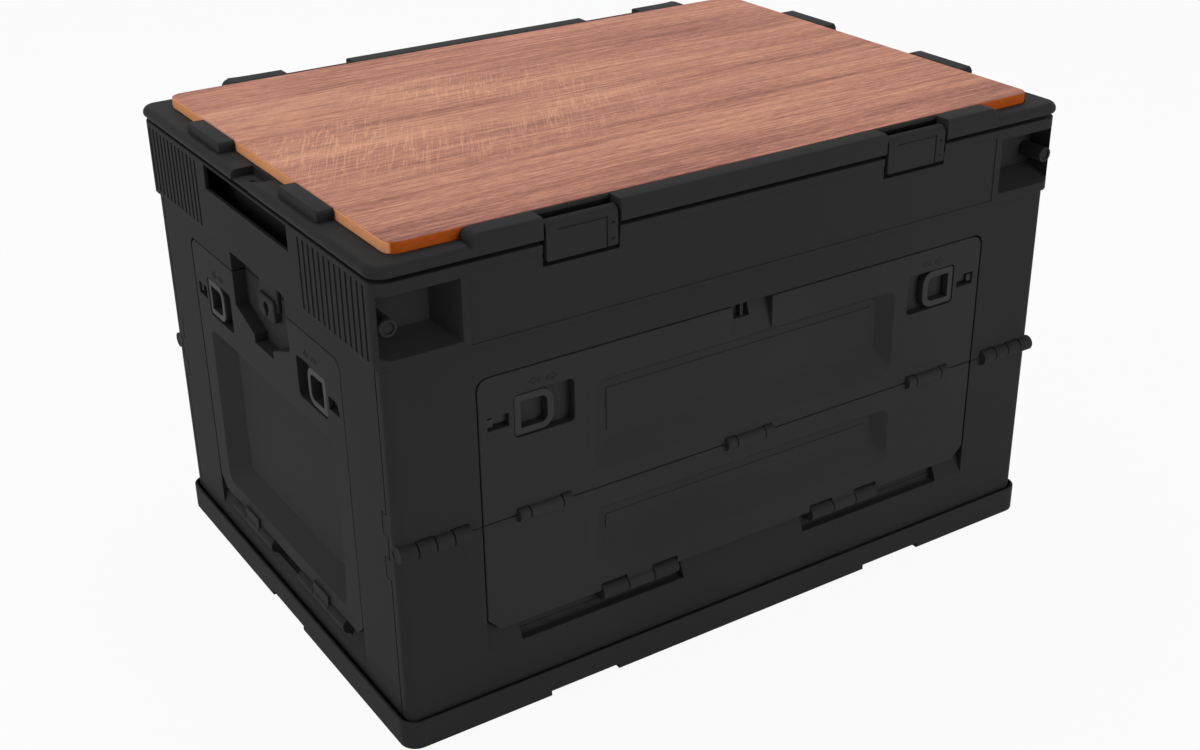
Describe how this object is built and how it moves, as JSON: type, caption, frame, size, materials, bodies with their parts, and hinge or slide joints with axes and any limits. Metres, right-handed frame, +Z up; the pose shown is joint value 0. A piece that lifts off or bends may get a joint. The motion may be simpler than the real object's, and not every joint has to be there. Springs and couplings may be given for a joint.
{
  "type": "folding storage box",
  "caption": "Rectangular folding camping box with bi-fold side doors, hinged end walls with doors, corner tie posts, and a latched lid that carries a wooden board.",
  "frame": {"origin": "under the middle of the box, on the floor", "axes": "+X along the front from left to right, +Y from the front to the back, +Z up"},
  "size_m": [0.533, 0.3766, 0.3344],
  "materials": {
    "box_plastic": "fine-grained matt black moulded plastic",
    "board_wood": "oiled reddish-brown wood with cross saw marks",
    "pin_steel": "plain drawn steel"
  },
  "bodies": {
    "shell": {"base_tray": "box_plastic", "top_frame": "box_plastic", "corner_posts": "box_plastic", "front_lower_wall": "box_plastic", "front_upper_wall": "box_plastic", "front_sill_pins": "pin_steel", "front_wall_mid_pins": "pin_steel", "front_wall_base_pins": "pin_steel", "front_wall_frame_pins": "pin_steel", "back_lower_wall": "box_plastic", "back_upper_wall": "box_plastic", "back_sill_pins": "pin_steel", "back_wall_mid_pins": "pin_steel", "back_wall_base_pins": "pin_steel", "back_wall_frame_pins": "pin_steel", "left_end_wall_pins": "pin_steel", "right_end_wall_pins": "pin_steel"},
    "front_door_lower": {"front_door_lower": "box_plastic", "front_door_mid_pins": "pin_steel"},
    "front_door_upper": {"front_door_upper": "box_plastic"},
    "front_lock_left": {"front_lock_left": "box_plastic"},
    "front_lock_right": {"front_lock_right": "box_plastic"},
    "back_door_lower": {"back_door_lower": "box_plastic", "back_door_mid_pins": "pin_steel"},
    "back_door_upper": {"back_door_upper": "box_plastic"},
    "back_lock_left": {"back_lock_left": "box_plastic"},
    "back_lock_right": {"back_lock_right": "box_plastic"},
    "left_end_wall": {"left_end_wall": "box_plastic", "left_end_door_pins": "pin_steel"},
    "left_end_door": {"left_end_door": "box_plastic"},
    "left_end_lock_left": {"left_end_lock_left": "box_plastic"},
    "left_end_lock_right": {"left_end_lock_right": "box_plastic"},
    "right_end_wall": {"right_end_wall": "box_plastic", "right_end_door_pins": "pin_steel"},
    "right_end_door": {"right_end_door": "box_plastic"},
    "right_end_lock_left": {"right_end_lock_left": "box_plastic"},
    "right_end_lock_right": {"right_end_lock_right": "box_plastic"},
    "lid": {"lid_panel": "box_plastic", "latch_pins": "pin_steel"},
    "board": {"wood_board": "board_wood"},
    "front_latch_left": {"front_latch_left": "box_plastic"},
    "front_latch_right": {"front_latch_right": "box_plastic"},
    "back_latch_left": {"back_latch_left": "box_plastic"},
    "back_latch_right": {"back_latch_right": "box_plastic"}
  },
  "joints": [
    {"name": "front_door_sill_hinge", "type": "hinge", "parent": "shell", "child": "front_door_lower", "pos_m": [0, -0.18035, 0.0618], "axis": [1, 0, 0], "range_deg": [0, 90]},
    {"name": "front_door_mid_hinge", "type": "hinge", "parent": "front_door_lower", "child": "front_door_upper", "pos_m": [0, -0.18285, 0.1426], "axis": [1, 0, 0], "range_deg": [0, 135]},
    {"name": "front_lock_left_slide", "type": "slide", "parent": "front_door_upper", "child": "front_lock_left", "axis": [1, 0, 0], "range_m": [0, 0.01]},
    {"name": "front_lock_right_slide", "type": "slide", "parent": "front_door_upper", "child": "front_lock_right", "axis": [-1, 0, 0], "range_m": [0, 0.01]},
    {"name": "back_door_sill_hinge", "type": "hinge", "parent": "shell", "child": "back_door_lower", "pos_m": [0, 0.18035, 0.0618], "axis": [-1, 0, 0], "range_deg": [0, 90]},
    {"name": "back_door_mid_hinge", "type": "hinge", "parent": "back_door_lower", "child": "back_door_upper", "pos_m": [0, 0.18285, 0.1426], "axis": [-1, 0, 0], "range_deg": [0, 135]},
    {"name": "back_lock_left_slide", "type": "slide", "parent": "back_door_upper", "child": "back_lock_left", "axis": [-1, 0, 0], "range_m": [0, 0.01]},
    {"name": "back_lock_right_slide", "type": "slide", "parent": "back_door_upper", "child": "back_lock_right", "axis": [1, 0, 0], "range_m": [0, 0.01]},
    {"name": "left_end_wall_hinge", "type": "hinge", "parent": "shell", "child": "left_end_wall", "pos_m": [-0.2561, 0, 0.2669], "axis": [0, -1, 0], "range_deg": [0, 88]},
    {"name": "left_end_door_hinge", "type": "hinge", "parent": "left_end_wall", "child": "left_end_door", "pos_m": [-0.2596, 0, 0.0416], "axis": [0, -1, 0], "range_deg": [0, 95]},
    {"name": "left_end_lock_left_slide", "type": "slide", "parent": "left_end_door", "child": "left_end_lock_left", "axis": [0, -1, 0], "range_m": [0, 0.01]},
    {"name": "left_end_lock_right_slide", "type": "slide", "parent": "left_end_door", "child": "left_end_lock_right", "axis": [0, 1, 0], "range_m": [0, 0.01]},
    {"name": "right_end_wall_hinge", "type": "hinge", "parent": "shell", "child": "right_end_wall", "pos_m": [0.2561, 0, 0.2669], "axis": [0, 1, 0], "range_deg": [0, 88]},
    {"name": "right_end_door_hinge", "type": "hinge", "parent": "right_end_wall", "child": "right_end_door", "pos_m": [0.2596, 0, 0.0416], "axis": [0, 1, 0], "range_deg": [0, 95]},
    {"name": "right_end_lock_left_slide", "type": "slide", "parent": "right_end_door", "child": "right_end_lock_left", "axis": [0, 1, 0], "range_m": [0, 0.01]},
    {"name": "right_end_lock_right_slide", "type": "slide", "parent": "right_end_door", "child": "right_end_lock_right", "axis": [0, -1, 0], "range_m": [0, 0.01]},
    {"name": "lid_hinge", "type": "hinge", "parent": "shell", "child": "lid", "pos_m": [0, 0.18165, 0.3259], "axis": [-1, 0, 0], "range_deg": [0, 100]},
    {"name": "board_lift", "type": "slide", "parent": "lid", "child": "board", "axis": [0, 0, 1], "range_m": [0, 0.06]},
    {"name": "front_latch_left_hinge", "type": "hinge", "parent": "lid", "child": "front_latch_left", "pos_m": [-0.1305, -0.18165, 0.3259], "axis": [-1, 0, 0], "range_deg": [0, 90]},
    {"name": "front_latch_right_hinge", "type": "hinge", "parent": "lid", "child": "front_latch_right", "pos_m": [0.1305, -0.18165, 0.3259], "axis": [-1, 0, 0], "range_deg": [0, 90]},
    {"name": "back_latch_left_hinge", "type": "hinge", "parent": "shell", "child": "back_latch_left", "pos_m": [0.1305, 0.18165, 0.3259], "axis": [1, 0, 0], "range_deg": [0, 90]},
    {"name": "back_latch_right_hinge", "type": "hinge", "parent": "shell", "child": "back_latch_right", "pos_m": [-0.1305, 0.18165, 0.3259], "axis": [1, 0, 0], "range_deg": [0, 90]}
  ]
}
